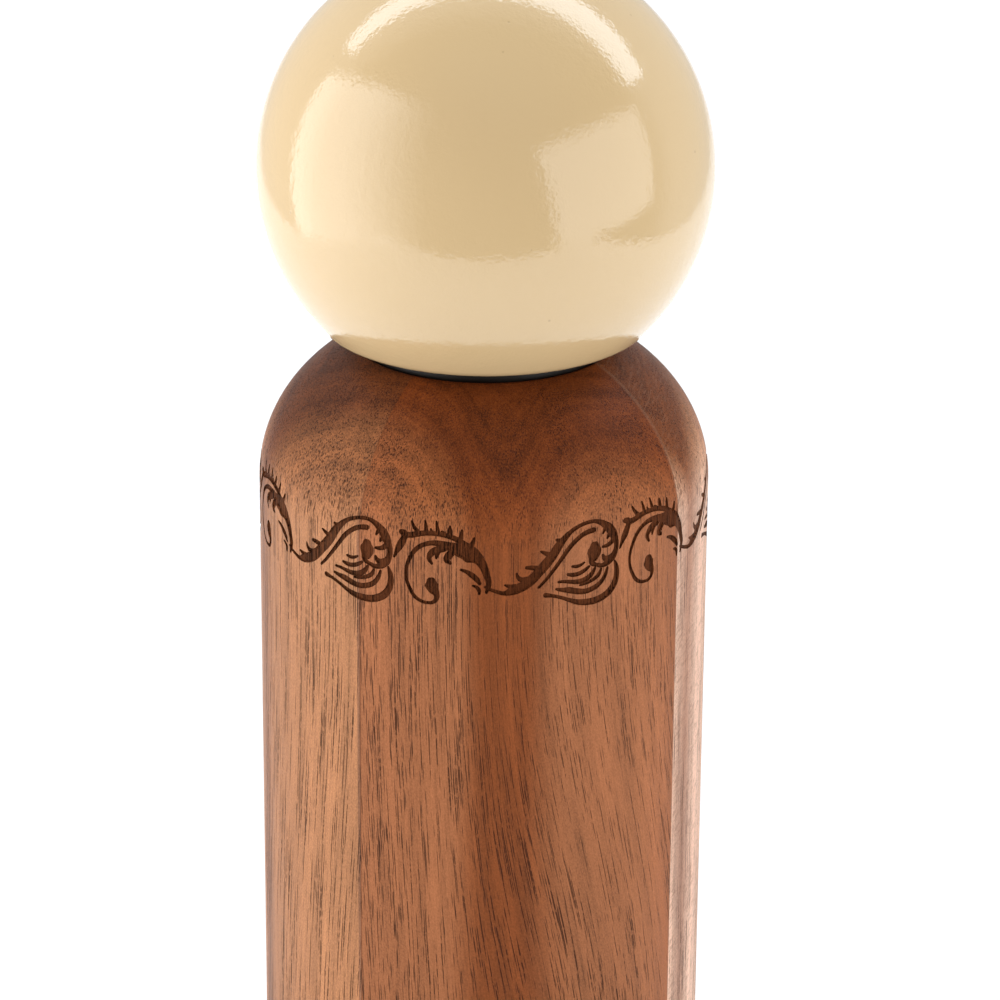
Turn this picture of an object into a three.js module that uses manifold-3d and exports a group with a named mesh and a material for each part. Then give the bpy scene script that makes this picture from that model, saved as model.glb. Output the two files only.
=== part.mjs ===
// A ball-top wooden pepper mill, in millimetres, +Z up, standing on z = 0 with its axis on Z.
// The ball is the head: it turns a square shaft, which turns a ceramic cone inside a ceramic ring.
// The head pulls off to fill the chamber, and a knob under the mill sets how fine it grinds.
import * as THREE from "three";
import { mergeVertices } from "three/addons/utils/BufferGeometryUtils.js";
import Module from "manifold-3d";

const wasm = await Module();
wasm.setup();

// ---------------------------------------------------------------- clearances
const SEAT = 0.3; // between faces that rest on each other
const RUN = 0.3; // between faces that slide or turn past each other
const SLIP = 0.2; // round a small part in its pocket

// ---------------------------------------------------------------- driving dimensions
// The wooden body and its domed shoulder, a quarter of an ellipse that stops at a small flat.
const bodyR = 31;
const bodyTop = 169.57;
const shoulderRise = 22.5;
const shoulderReach = 26.4;
const topRim = 0.4; // width of the flat round the collar
const footRound = 1.2;
const throatR = 12;
const throatLength = 10.87;
const boreDepth = 36.8; // of the lower bore, which takes the grinder

// The ball and the dark line under it.
const ballR = 31;
const ballEdgeRound = 4;
const ballFlatMargin = 4.17; // flat left round the insert
const headGap = 1.93; // between the wood of the ball and of the body, where the collar's edge shows
const insertFlange = 2.2;
const insertPlugR = 9;
const insertPlugLength = 22.5;
const insertScrewLength = 10;
const collarFlange = 2.1;
const collarFlangeWidth = 5.2;
const collarLength = 11;
const spigotLength = 8;
const ringWire = 0.8; // radius of the O-ring's section
const clipStrap = 0.6;
const clipWidth = 4.4;
const clipLength = 14.6;

// The shaft.
const shaftSquare = 6;
const shaftInBall = 18.5;
const journalR = 3;
const shaftFlat = 2.4; // half the width across the lower end's two flats
const clipThick = 0.8;
const clipGrooveDepth = 0.65;

// The burrs.
const burrOuterR = 15;
const burrWall = 1.95; // of the ring behind its teeth
const outerHeight = 15.5;
const innerHeight = 16;
const burrDrop = 1.2; // the ring starts this far below the cone
const toothCount = 18;
const sidesPerTooth = 4;
const toothDepth = 0.9;
const breakerCount = 6;
const twist = 0.05; // radians of helix for each millimetre of height
const burrSlope = 0.32; // how much the cone widens for each millimetre down
const burrGap = 0.75; // between the tooth tips at the coarse end
const pocketR = 6; // spring pocket in the top of the cone
const pocketFloorRise = 7.2;
const lugReach = 1.1;
const lugHalfAngle = 0.13;
const keyReach = 1.1; // how far the carrier's keys stand out
const keyHalfAngle = 0.3;

// What holds the grinder, and what sets it.
const housingWall = 2.2;
const bridgeThick = 5;
const armWidth = 5;
const armHeight = 4;
const hubWall = 2.4;
const bushWall = 1.7;
const bushFlange = 0.9;
const springWire = 0.9;
const springTurns = 4;
const springSteps = 10; // along each turn
const washerThick = 0.8;
const carrierFlange = 1.5;
const carrierFlangeR = 9;
const carrierWall = 1.4;
const knobHeight = 6.4;
const knobR = 8.8;
const fluteCount = 12;
const nutSides = 6;
const nutR = 5; // across the corners
const knobWeb = 1; // the shelf that the nut sits on
const plateThick = 1.2;
const plateInset = 1; // how far the plate lies above the table
const baseScrewHeadR = 3;
const baseScrewR = 1.5;
const baseScrewLength = 12;
const insertScrewHeadR = 2;
const insertScrewR = 1;

const screwCount = 3;
const armCount = 3;
const lugCount = 3;

// Sides of a turned part, always a multiple of four: wide, middling and small.
const WIDE = 40;
const MIDDLE = 32;
const SMALL = 24;

// ---------------------------------------------------------------- places that follow from them
const boltAngle = (i) => Math.PI / 2 + (i * 2 * Math.PI) / screwCount;

// Round the axis, from the burrs outwards.
const innerR = burrOuterR - burrWall - burrGap; // the cone's foot, over its tooth tips
const housingBoreR = burrOuterR + SEAT;
const housingR = burrOuterR + SEAT + housingWall;
const boreR = housingR + SEAT;
const chamberR = housingR - 2;
const ledgeR = burrOuterR - 2;
const retainerHoleR = burrOuterR - 1.2;
const plateHoleR = retainerHoleR + 0.4;
const baseScrewCircle = boreR + baseScrewHeadR + 0.8;
const plateR = baseScrewCircle + baseScrewHeadR + 0.4;
const bushHoleR = journalR + RUN;
const bushR = bushHoleR + bushWall;
const bushFlangeR = bushR + 1.6;
const hubR = bushR + SLIP + hubWall;
const carrierR = journalR + RUN + carrierWall;
const wellR = nutR + SLIP;
const endClipR = wellR - SEAT;
const circlipR = bushR + 0.2;
const clipGrooveR = journalR - clipGrooveDepth;
const springR = journalR + SEAT + springWire / 2 + 0.6;

const collarR = throatR - SEAT;
const collarFlangeR = throatR + collarFlangeWidth;
const collarHoleR = collarR - 1.2;
const spigotR = collarHoleR - RUN;
const ringR = spigotR + 0.05 - ringWire;
const ringGrooveR = ringR - ringWire - SLIP;
const insertScrewCircle = collarHoleR + 2.5;
const insertFlangeR = insertScrewCircle + insertScrewHeadR + 0.5;
const socketHalf = shaftSquare / 2 + RUN;
const clipInner = socketHalf - 0.05;

// Up the axis, from the table.
const plateZ = plateInset;
const recessZ = plateZ + plateThick + SEAT;
const knobZ = plateInset + 0.4;
const knobTop = knobZ + knobHeight;
const nutFloor = knobZ + 3;
const endClipZ = nutFloor - knobWeb - SEAT - clipThick;
const shaftEndZ = endClipZ - SLIP - 0.6;
const washerZ = knobTop + SEAT;
const carrierZ = washerZ + washerThick + SEAT;
const innerZ = carrierZ + carrierFlange + SEAT;
const pocketFloor = innerZ + pocketFloorRise;
const carrierTop = pocketFloor - SEAT;
const outerZ = innerZ - burrDrop;
const ledgeZ = outerZ + outerHeight + SEAT;
const housingTop = boreDepth - SEAT;
const bridgeZ = housingTop - bridgeThick;
const bushZ = bridgeZ - 0.6;
const bushTop = housingTop + bushFlange;
const squareZ = bushTop + SEAT; // where the round journal becomes the square shaft
const circlipZ = bushZ - SEAT - clipThick;
const springWasherZ = circlipZ - SEAT - washerThick;

const shoulderInner = bodyR - shoulderReach;
const topFlatR = collarFlangeR + SEAT + topRim;
const shoulderCut = shoulderRise * Math.sqrt(1 - ((topFlatR - shoulderInner) / shoulderReach) ** 2);
const shoulderStart = bodyTop - shoulderCut;
const ballFlatZ = bodyTop + headGap;
const collarTop = ballFlatZ - RUN;
const ballFlatR = insertFlangeR + ballFlatMargin;
const ballFlatDrop = ballEdgeRound + Math.sqrt((ballR - ballEdgeRound) ** 2 - ballFlatR ** 2);
const ballZ = ballFlatZ + ballFlatDrop;
const shaftTop = ballFlatZ + shaftInBall;
const insertTop = ballFlatZ + insertPlugLength;
const clipTop = insertTop - 1.2 - SLIP;
const clipBottom = clipTop - clipLength;

// ---------------------------------------------------------------- finishes
const finish = (color, roughness, metalness = 0) =>
  new THREE.MeshStandardMaterial({ color, roughness, metalness });
const lacquer = finish(0xe6d2a8, 0.12);
const oiledWood = finish(0x8a5638, 0.5);
const blackPlastic = finish(0x1b1b1c, 0.45);
const whitePlastic = finish(0xe8e6e0, 0.4);
const ceramic = finish(0xf1eee6, 0.35);
const steel = finish(0xb9bcc0, 0.3, 1);
const brass = finish(0xc2a050, 0.3, 1);
const rubber = finish(0x141414, 0.8);

// ---------------------------------------------------------------- shape helpers
const turn = (points, sides) => {
  const profile = points.map(([r, z]) => new THREE.Vector2(r, z));
  return new THREE.LatheGeometry(profile, sides).rotateX(Math.PI / 2);
};

// Points of an elliptical arc in a profile, from one angle to the other.
const arc = (r, z, a, b, from, to, steps) =>
  Array.from({ length: steps + 1 }, (_, i) => {
    const t = from + ((to - from) * i) / steps;
    return [r + a * Math.cos(t), z + b * Math.sin(t)];
  });

// A turned tube, from a profile of its section that closes on itself.
const tube = (points, sides) => turn([...points, points[0]], sides);
const ring = (rIn, rOut, z0, z1, sides) => tube([[rIn, z0], [rOut, z0], [rOut, z1], [rIn, z1]], sides);
const rod = (r, z0, z1, sides) => turn([[0, z0], [r, z0], [r, z1], [0, z1]], sides);
const block = (x0, x1, y0, y1, z0, z1) =>
  new THREE.BoxGeometry(x1 - x0, y1 - y0, z1 - z0).translate((x0 + x1) / 2, (y0 + y1) / 2, (z0 + z1) / 2);

const solid = (geometry) => {
  const bare = geometry.clone();
  for (const name of ["normal", "uv"]) bare.deleteAttribute(name);
  const merged = mergeVertices(bare, 1e-4);
  return new wasm.Manifold(
    new wasm.Mesh({
      numProp: 3,
      vertProperties: new Float32Array(merged.attributes.position.array),
      triVerts: new Uint32Array(merged.index.array),
    }),
  );
};

const surface = (made) => {
  const { vertProperties, triVerts, numProp } = made.getMesh();
  const geometry = new THREE.BufferGeometry();
  const position = new Float32Array((vertProperties.length / numProp) * 3);
  for (let i = 0; i < position.length / 3; i++)
    for (let k = 0; k < 3; k++) position[3 * i + k] = vertProperties[numProp * i + k];
  geometry.setAttribute("position", new THREE.BufferAttribute(position, 3));
  geometry.setIndex(new THREE.BufferAttribute(new Uint32Array(triVerts), 1));
  return geometry.toNonIndexed();
};

const cut = (geometry, ...tools) =>
  surface(tools.reduce((made, tool) => made.subtract(solid(tool)), solid(geometry)));
const join = (geometry, ...others) =>
  surface(others.reduce((made, other) => made.add(solid(other)), solid(geometry)));
const common = (geometry, other) => surface(solid(geometry).intersect(solid(other)));

// Copies of a shape set evenly round the axis.
const around = (count, make, start = Math.PI / 2) =>
  Array.from({ length: count }, (_, i) => make(i).rotateZ(start + (i * 2 * Math.PI) / count));

// A closed wall round the axis whose section may differ at each angle: radius(corner, angle) gives how far
// corner k of the section lies from the axis, and heights[k] its height. The corners go round the section.
const wrap = (heights, radius, sides) => {
  const count = heights.length;
  const position = [];
  for (let j = 0; j < sides; j++) {
    const angle = (2 * Math.PI * j) / sides;
    for (let k = 0; k < count; k++) {
      const r = radius(k, angle);
      position.push(r * Math.cos(angle), r * Math.sin(angle), heights[k]);
    }
  }
  const index = [];
  for (let j = 0; j < sides; j++)
    for (let k = 0; k < count; k++) {
      const a = j * count + k;
      const b = j * count + ((k + 1) % count);
      const c = ((j + 1) % sides) * count + k;
      const d = ((j + 1) % sides) * count + ((k + 1) % count);
      index.push(a, c, b, b, c, d);
    }
  const geometry = new THREE.BufferGeometry();
  geometry.setAttribute("position", new THREE.Float32BufferAttribute(position, 3));
  geometry.setIndex(index);
  return geometry.toNonIndexed();
};

// ---------------------------------------------------------------- assembly
const mill = new THREE.Group();
mill.name = "pepper_mill";
const groups = {};
for (const name of ["mill_body", "drive", "rotor", "adjuster", "head"]) {
  groups[name] = new THREE.Group();
  groups[name].name = name;
  mill.add(groups[name]);
}
const place = (group, name, geometry, material) => {
  const mesh = new THREE.Mesh(geometry, material);
  mesh.name = name;
  groups[group].add(mesh);
};

// ---------------------------------------------------------------- wooden body
const bodyShell = () => {
  const topAngle = Math.asin(shoulderCut / shoulderRise);
  const throatZ = bodyTop - throatLength;
  const outside = [
    ...arc(bodyR - footRound, footRound, footRound, footRound, -Math.PI / 2, 0, 2),
    ...arc(shoulderInner, shoulderStart, shoulderReach, shoulderRise, 0, topAngle, 9),
  ];
  const inside = [
    [collarFlangeR + SEAT, bodyTop],
    [collarFlangeR + SEAT, collarTop - collarFlange - SEAT],
    [throatR, collarTop - collarFlange - SEAT],
    [throatR, throatZ],
    [chamberR, throatZ - (chamberR - throatR)],
    [chamberR, boreDepth],
    [boreR, boreDepth],
    [boreR, recessZ],
    [plateR + SEAT, recessZ],
    [plateR + SEAT, 0],
  ];
  const blank = tube([...outside, ...inside], WIDE);
  const holes = around(screwCount, () =>
    rod(baseScrewR + SEAT, plateZ, recessZ + baseScrewLength, 12).translate(baseScrewCircle, 0, 0),
  );
  return cut(blank, ...holes);
};

const collarBush = () =>
  tube(
    [
      [collarHoleR, collarTop - collarLength],
      [collarR, collarTop - collarLength],
      [collarR, collarTop - collarFlange],
      [collarFlangeR, collarTop - collarFlange],
      [collarFlangeR, collarTop],
      [collarHoleR + 0.8, collarTop],
      [collarHoleR, collarTop - 0.8],
    ],
    MIDDLE,
  );

// ---------------------------------------------------------------- grinder housing and what it holds
const lugAngle = (angle) => {
  const step = (2 * Math.PI) / lugCount;
  return Math.abs(((angle + step / 2) % step) - step / 2);
};

const grinderHousing = () => {
  const cup = tube(
    [
      [housingBoreR, recessZ],
      [housingR, recessZ],
      [housingR, housingTop],
      [chamberR, housingTop],
      [chamberR, bridgeZ - 1],
      [ledgeR, ledgeZ + 2],
      [ledgeR, ledgeZ],
      [housingBoreR, ledgeZ],
    ],
    WIDE,
  );
  const hub = ring(bushR + SLIP, hubR, bridgeZ, housingTop, SMALL);
  const arms = around(armCount, () =>
    block(hubR - 0.8, housingR - 1, -armWidth / 2, armWidth / 2, bridgeZ, bridgeZ + armHeight),
  );
  const lugR = burrOuterR + lugReach;
  const slotHalf = lugR * Math.sin(lugHalfAngle) + SEAT;
  const slots = around(
    lugCount,
    () => block(burrOuterR - 0.5, lugR + SEAT, -slotHalf, slotHalf, recessZ - 1, ledgeZ),
    0,
  );
  return cut(join(cup, hub, ...arms), ...slots);
};

const shaftBush = () =>
  tube(
    [
      [bushHoleR, bushZ],
      [bushR, bushZ],
      [bushR, housingTop + SLIP],
      [bushFlangeR, housingTop + SLIP],
      [bushFlangeR, bushTop],
      [bushHoleR, bushTop],
    ],
    SMALL,
  );

// Saw teeth: 0 in the root and 1 at the tip, steep on the cutting side.
const sawTooth = (angle, count) => {
  const turnShare = (((angle * count) / (2 * Math.PI)) % 1 + 1) % 1;
  return turnShare < 0.75 ? turnShare / 0.75 : (1 - turnShare) / 0.25;
};
const coneTip = (z) => innerR - burrSlope * (z - innerZ);

// Lower down the cone has fine teeth; towards the top they run into a few deep breaker flutes.
const breakerShare = (z, z0, height) => Math.min(1, Math.max(0, ((z - z0) / height - 0.4) / 0.35));

const innerBurr = () => {
  const steps = 7;
  const top = innerZ + innerHeight;
  const outside = Array.from({ length: steps + 1 }, (_, i) => innerZ + (innerHeight * i) / steps);
  const heights = [...outside, top, pocketFloor, pocketFloor, innerZ];
  const key = (angle) => (lugAngle(angle) < keyHalfAngle ? keyReach + SLIP : 0);
  const radius = (corner, angle) => {
    if (corner > steps) {
      if (corner <= steps + 2) return pocketR;
      return carrierR + SLIP + key(angle);
    }
    const z = heights[corner];
    const share = breakerShare(z, innerZ, innerHeight);
    const swept = angle + twist * (z - innerZ);
    const fine = toothDepth * (sawTooth(swept, toothCount) - 1);
    const coarse = 2.2 * toothDepth * (sawTooth(swept, breakerCount) - 1);
    return Math.max(pocketR + 0.6, coneTip(z) + fine * (1 - share) + coarse * share);
  };
  return wrap(heights, radius, toothCount * sidesPerTooth);
};

const outerBurr = () => {
  const steps = 7;
  const bore = Array.from({ length: steps + 1 }, (_, i) => outerZ + outerHeight * (1 - i / steps));
  const heights = [outerZ, outerZ + outerHeight, ...bore];
  const radius = (corner, angle) => {
    if (corner < 2) return burrOuterR + (lugAngle(angle) < lugHalfAngle ? lugReach : 0);
    const z = heights[corner];
    const share = breakerShare(z, outerZ, outerHeight);
    const swept = angle - twist * (z - outerZ);
    const fine = toothDepth * (1 - sawTooth(swept, toothCount));
    const coarse = 1.6 * toothDepth * (1 - sawTooth(swept, breakerCount * 2));
    const mouth = 2.6 * share * share;
    return coneTip(z) + burrGap + mouth + fine * (1 - share) + coarse * share;
  };
  return wrap(heights, radius, toothCount * sidesPerTooth);
};

const burrRetainer = () => {
  const top = outerZ - SEAT;
  const wall = tube(
    [
      [retainerHoleR + 0.8, recessZ],
      [burrOuterR, recessZ],
      [burrOuterR, top],
      [retainerHoleR, top],
      [retainerHoleR, recessZ + 1.2],
    ],
    MIDDLE,
  );
  const notches = around(screwCount, () =>
    block(retainerHoleR - 1, burrOuterR - 0.6, -1.5, 1.5, recessZ - 1, recessZ + 1.4),
  );
  return cut(wall, ...notches);
};

const basePlate = () => {
  const plate = tube(
    [
      [plateHoleR, plateZ],
      [plateR - 0.4, plateZ],
      [plateR, plateZ + 0.4],
      [plateR, plateZ + plateThick],
      [plateHoleR, plateZ + plateThick],
    ],
    WIDE,
  );
  const holes = around(screwCount, () =>
    turn(
      [
        [0, plateZ - 1],
        [baseScrewHeadR + SLIP, plateZ - 1],
        [baseScrewHeadR + SLIP, plateZ + SLIP],
        [baseScrewR + SLIP, plateZ + plateThick + SLIP],
        [baseScrewR + SLIP, plateZ + plateThick + 1],
        [0, plateZ + plateThick + 1],
      ],
      16,
    ).translate(baseScrewCircle, 0, 0),
  );
  return cut(plate, ...holes);
};

// A countersunk screw that points up, with its head's face at z.
const screw = (headR, shankR, headHeight, length, z, circle, i) => {
  const tip = 1.6 * shankR;
  const body = turn(
    [
      [0, z],
      [headR, z],
      [shankR, z + headHeight],
      [shankR, z + length - tip],
      [0, z + length],
    ],
    12,
  );
  return body.translate(circle, 0, 0).rotateZ(boltAngle(i));
};
const baseScrew = (i) =>
  screw(baseScrewHeadR, baseScrewR, plateThick, baseScrewLength, plateZ, baseScrewCircle, i);
const insertScrew = (i) =>
  screw(insertScrewHeadR, insertScrewR, 1, insertScrewLength, ballFlatZ, insertScrewCircle, i);

// ---------------------------------------------------------------- shaft and what stays on it
const driveShaft = () => {
  const half = shaftSquare / 2;
  const square = block(-half, half, -half, half, squareZ, shaftTop);
  const tapered = turn(
    [
      [0, squareZ - 1],
      [half * 1.6, squareZ - 1],
      [half * 1.6, shaftTop - 3],
      [half * 0.9, shaftTop + 0.6],
      [0, shaftTop + 0.6],
    ],
    SMALL,
  );
  const journal = rod(journalR, shaftEndZ, squareZ + 1, SMALL);
  const flatTop = springWasherZ - SEAT;
  const out = journalR + 1;
  const flats = [1, -1].map((side) => {
    const [near, far] = [side * shaftFlat, side * out].sort((a, b) => a - b);
    return block(-out, out, near, far, shaftEndZ - 1, flatTop);
  });
  const grooves = [circlipZ, endClipZ].map((z) =>
    ring(clipGrooveR, out, z - SLIP, z + clipThick + SLIP, SMALL),
  );
  return cut(join(common(square, tapered), journal), ...flats, ...grooves);
};

// A retaining ring, open on one side.
const openRing = (rOut, z) => {
  const mouth = journalR + 0.2;
  const shape = new THREE.Shape();
  const rIn = clipGrooveR + SLIP;
  const outGap = Math.asin(mouth / 2 / rOut);
  const inGap = Math.asin(mouth / 2 / rIn);
  shape.absarc(0, 0, rOut, outGap, 2 * Math.PI - outGap, false);
  shape.absarc(0, 0, rIn, 2 * Math.PI - inGap, inGap, true);
  shape.closePath();
  const flat = { depth: clipThick, bevelEnabled: false, curveSegments: 12 };
  return new THREE.ExtrudeGeometry(shape, flat).translate(0, 0, z);
};

const springWasher = () =>
  ring(journalR + SLIP, bushR + 0.6, springWasherZ, springWasherZ + washerThick, SMALL);

class Helix extends THREE.Curve {
  constructor(radius, z0, z1, turns) {
    super();
    Object.assign(this, { radius, z0, z1, turns });
  }
  getPoint(t, target = new THREE.Vector3()) {
    const angle = 2 * Math.PI * this.turns * t;
    const flat = 0.8 / this.turns; // the end coils lie nearly flat
    const rise = THREE.MathUtils.smoothstep(t, flat * 0.3, 1 - flat * 0.3);
    return target.set(
      this.radius * Math.cos(angle),
      this.radius * Math.sin(angle),
      this.z0 + (this.z1 - this.z0) * rise,
    );
  }
}

const burrSpring = () => {
  const z0 = carrierTop + SEAT + springWire / 2;
  const z1 = springWasherZ - SEAT - springWire / 2;
  const section = new THREE.Shape();
  section.absarc(0, 0, springWire / 2, 0, 2 * Math.PI, false);
  return new THREE.ExtrudeGeometry(section, {
    steps: springTurns * springSteps,
    extrudePath: new Helix(springR, z0, z1, springTurns),
    bevelEnabled: false,
    curveSegments: 3,
  });
};

// ---------------------------------------------------------------- rotor and adjuster
const doubleFlat = (r, flat, z0, z1, sides) =>
  common(rod(r, z0, z1, sides), block(-r - 1, r + 1, -flat, flat, z0 - 1, z1 + 1));

const burrCarrier = () => {
  const hub = turn(
    [
      [0, carrierZ],
      [carrierFlangeR - 0.5, carrierZ],
      [carrierFlangeR, carrierZ + 0.5],
      [carrierFlangeR, carrierZ + carrierFlange],
      [carrierR, carrierZ + carrierFlange],
      [carrierR, carrierTop],
      [0, carrierTop],
    ],
    MIDDLE,
  );
  const keys = around(
    lugCount,
    () => block(carrierR - 1, carrierR + keyReach - SLIP, -1, 1, carrierZ + 0.8, carrierTop - 1),
    0,
  );
  const hole = doubleFlat(journalR + RUN, shaftFlat + RUN, carrierZ - 1, carrierTop + 1, SMALL);
  return cut(join(hub, ...keys), hole);
};

const thrustWasher = () => ring(journalR + RUN, knobR - 1.4, washerZ, washerZ + washerThick, SMALL);

const adjusterKnob = () => {
  const blank = turn(
    [
      [0, knobZ],
      [knobR - 1, knobZ],
      [knobR, knobZ + 1],
      [knobR, knobTop - 0.6],
      [knobR - 0.6, knobTop],
      [0, knobTop],
    ],
    WIDE,
  );
  const flutes = around(fluteCount, () => rod(1.1, knobZ - 1, knobTop + 1, 8).translate(knobR + 0.25, 0, 0));
  const pocket = rod(nutR + SLIP, nutFloor, knobTop + 1, nutSides);
  const well = rod(wellR, knobZ - 1, nutFloor - knobWeb, SMALL);
  const hole = rod(journalR + RUN, knobZ - 1, nutFloor + 1, SMALL);
  return cut(blank, ...flutes, pocket, well, hole);
};

const threadInsert = () =>
  cut(rod(nutR, nutFloor + SLIP, knobTop, nutSides), rod(journalR + RUN, nutFloor - 1, knobTop + 1, 24));

// ---------------------------------------------------------------- head
const headBall = () => {
  // The round edge touches the flat at ballFlatR, and the sphere at this angle below its equator.
  const edgeZ = ballFlatZ + ballEdgeRound;
  const touch = Math.atan2(edgeZ - ballZ, ballFlatR);
  const outside = [
    ...arc(ballFlatR, edgeZ, ballEdgeRound, ballEdgeRound, -Math.PI / 2, touch, 4),
    ...arc(0, ballZ, ballR, ballR, touch, Math.PI / 2, 16).slice(1),
  ];
  outside[outside.length - 1][0] = 0;
  const recess = ballFlatZ + insertFlange + SEAT;
  const screwTop = ballFlatZ + insertScrewLength + SEAT;
  const blank = turn(
    [
      [0, insertTop + SEAT],
      [insertPlugR + SEAT, insertTop + SEAT],
      [insertPlugR + SEAT, recess],
      [insertFlangeR + SEAT, recess],
      [insertFlangeR + SEAT, ballFlatZ],
      ...outside,
    ],
    WIDE,
  );
  const holes = around(screwCount, () =>
    rod(insertScrewR + SLIP, recess - 0.5, screwTop, 8).translate(insertScrewCircle, 0, 0),
  );
  return cut(blank, ...holes);
};

const headInsert = () => {
  const spigotZ = ballFlatZ - spigotLength;
  const groove = ringWire + SLIP;
  const ringZ = ballFlatZ - spigotLength / 2;
  const blank = turn(
    [
      [0, spigotZ + 3],
      [ringGrooveR - 1.45, spigotZ],
      [spigotR - 0.6, spigotZ],
      [spigotR, spigotZ + 0.6],
      [spigotR, ringZ - groove],
      [ringGrooveR, ringZ - groove],
      [ringGrooveR, ringZ + groove],
      [spigotR, ringZ + groove],
      [spigotR, ballFlatZ],
      [insertFlangeR, ballFlatZ],
      [insertFlangeR, ballFlatZ + insertFlange],
      [insertPlugR, ballFlatZ + insertFlange],
      [insertPlugR, insertTop - 1],
      [insertPlugR - 1, insertTop],
      [0, insertTop],
    ],
    MIDDLE,
  );
  const socket = block(-socketHalf, socketHalf, -socketHalf, socketHalf, spigotZ - 1, shaftTop + 1);
  const across = clipInner + clipStrap + SLIP + 0.05;
  const along = clipWidth / 2 + SLIP;
  const pocket = block(-across, across, -along, along, clipBottom - SLIP, clipTop + SLIP);
  const holes = around(screwCount, () =>
    turn(
      [
        [0, ballFlatZ - 1],
        [insertScrewHeadR + SLIP, ballFlatZ - 1],
        [insertScrewHeadR + SLIP, ballFlatZ + SLIP],
        [insertScrewR + SLIP, ballFlatZ + 1 + SLIP],
        [insertScrewR + SLIP, ballFlatZ + insertFlange + 1],
        [0, ballFlatZ + insertFlange + 1],
      ],
      12,
    ).translate(insertScrewCircle, 0, 0),
  );
  return cut(blank, socket, pocket, ...holes);
};

const spigotRing = () => {
  const middle = ballFlatZ - spigotLength / 2;
  const section = arc(ringR, middle, ringWire, ringWire, 0, 2 * Math.PI, 8).slice(0, -1);
  return tube(section, MIDDLE);
};

const shaftClip = () => {
  const outer = clipInner + clipStrap;
  const corners = [
    [outer, clipBottom],
    [outer, clipTop],
    [-outer, clipTop],
    [-outer, clipBottom],
    [-clipInner, clipBottom],
    [-clipInner, clipTop - clipStrap],
    [clipInner, clipTop - clipStrap],
    [clipInner, clipBottom],
  ];
  const shape = new THREE.Shape(corners.map(([x, z]) => new THREE.Vector2(x, z)));
  return new THREE.ExtrudeGeometry(shape, { depth: clipWidth, bevelEnabled: false })
    .translate(0, 0, -clipWidth / 2)
    .rotateX(Math.PI / 2);
};

// ---------------------------------------------------------------- put together
place("mill_body", "body_shell", bodyShell(), oiledWood);
place("mill_body", "collar_bush", collarBush(), blackPlastic);
place("mill_body", "grinder_housing", grinderHousing(), blackPlastic);
place("mill_body", "shaft_bush", shaftBush(), whitePlastic);
place("mill_body", "outer_burr", outerBurr(), ceramic);
place("mill_body", "burr_retainer", burrRetainer(), blackPlastic);
place("mill_body", "base_plate", basePlate(), steel);
for (let i = 0; i < screwCount; i++)
  place("mill_body", `base_screw_${i + 1}`, baseScrew(i), steel);

place("drive", "drive_shaft", driveShaft(), steel);
place("drive", "shaft_circlip", openRing(circlipR, circlipZ), steel);
place("drive", "spring_washer", springWasher(), steel);
place("drive", "burr_spring", burrSpring(), steel);
place("drive", "end_clip", openRing(endClipR, endClipZ), steel);

place("rotor", "burr_carrier", burrCarrier(), blackPlastic);
place("rotor", "inner_burr", innerBurr(), ceramic);
place("rotor", "thrust_washer", thrustWasher(), whitePlastic);

place("adjuster", "adjuster_knob", adjusterKnob(), blackPlastic);
place("adjuster", "thread_insert", threadInsert(), brass);

place("head", "head_ball", headBall(), lacquer);
place("head", "head_insert", headInsert(), blackPlastic);
place("head", "spigot_oring", spigotRing(), rubber);
place("head", "shaft_clip", shaftClip(), steel);
for (let i = 0; i < screwCount; i++)
  place("head", `insert_screw_${i + 1}`, insertScrew(i), steel);

export default mill;
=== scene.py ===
"""A ball-top pepper mill: a cream lacquered ball on a turned wooden body with a burnt scroll border,
and the grinder, shaft and adjuster inside and under it. Lengths in this script are millimetres times MM."""

import math

import bpy
from mathutils import Matrix, Quaternion, Vector


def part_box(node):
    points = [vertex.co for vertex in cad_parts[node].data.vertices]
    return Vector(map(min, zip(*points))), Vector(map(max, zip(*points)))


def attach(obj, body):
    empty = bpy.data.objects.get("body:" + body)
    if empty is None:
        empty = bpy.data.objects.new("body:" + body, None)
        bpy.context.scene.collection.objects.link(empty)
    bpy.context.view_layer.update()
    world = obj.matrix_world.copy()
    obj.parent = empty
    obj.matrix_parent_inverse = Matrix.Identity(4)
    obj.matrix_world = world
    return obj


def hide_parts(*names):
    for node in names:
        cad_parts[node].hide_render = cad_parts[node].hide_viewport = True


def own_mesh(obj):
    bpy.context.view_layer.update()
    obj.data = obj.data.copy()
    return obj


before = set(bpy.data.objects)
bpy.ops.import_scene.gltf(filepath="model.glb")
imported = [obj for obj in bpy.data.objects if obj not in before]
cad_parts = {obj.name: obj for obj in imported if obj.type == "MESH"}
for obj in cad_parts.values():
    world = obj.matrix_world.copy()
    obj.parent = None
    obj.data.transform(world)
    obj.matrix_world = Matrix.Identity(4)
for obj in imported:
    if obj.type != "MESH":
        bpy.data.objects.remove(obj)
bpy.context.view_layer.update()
MM = 0.001


# ---------------- modelling
def clear():
    """Object mode with nothing selected, so that the next operator acts on its own piece alone."""
    if bpy.context.object and bpy.context.object.mode != "OBJECT":
        bpy.ops.object.mode_set(mode="OBJECT")
    bpy.ops.object.select_all(action="DESELECT")


def take(piece):
    clear()
    piece.select_set(True)
    bpy.context.view_layer.objects.active = piece


def edit(piece):
    """Opens the piece in edit mode with all of it selected."""
    take(piece)
    bpy.ops.object.mode_set(mode="EDIT")
    bpy.ops.mesh.select_all(action="SELECT")


def closed(piece, merge=0.0):
    """Merges what lies closer than merge millimetres, and turns the faces outwards."""
    edit(piece)
    if merge:
        bpy.ops.mesh.remove_doubles(threshold=merge * MM)
    bpy.ops.mesh.normals_make_consistent(inside=False)
    bpy.ops.object.mode_set(mode="OBJECT")
    return piece


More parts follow.
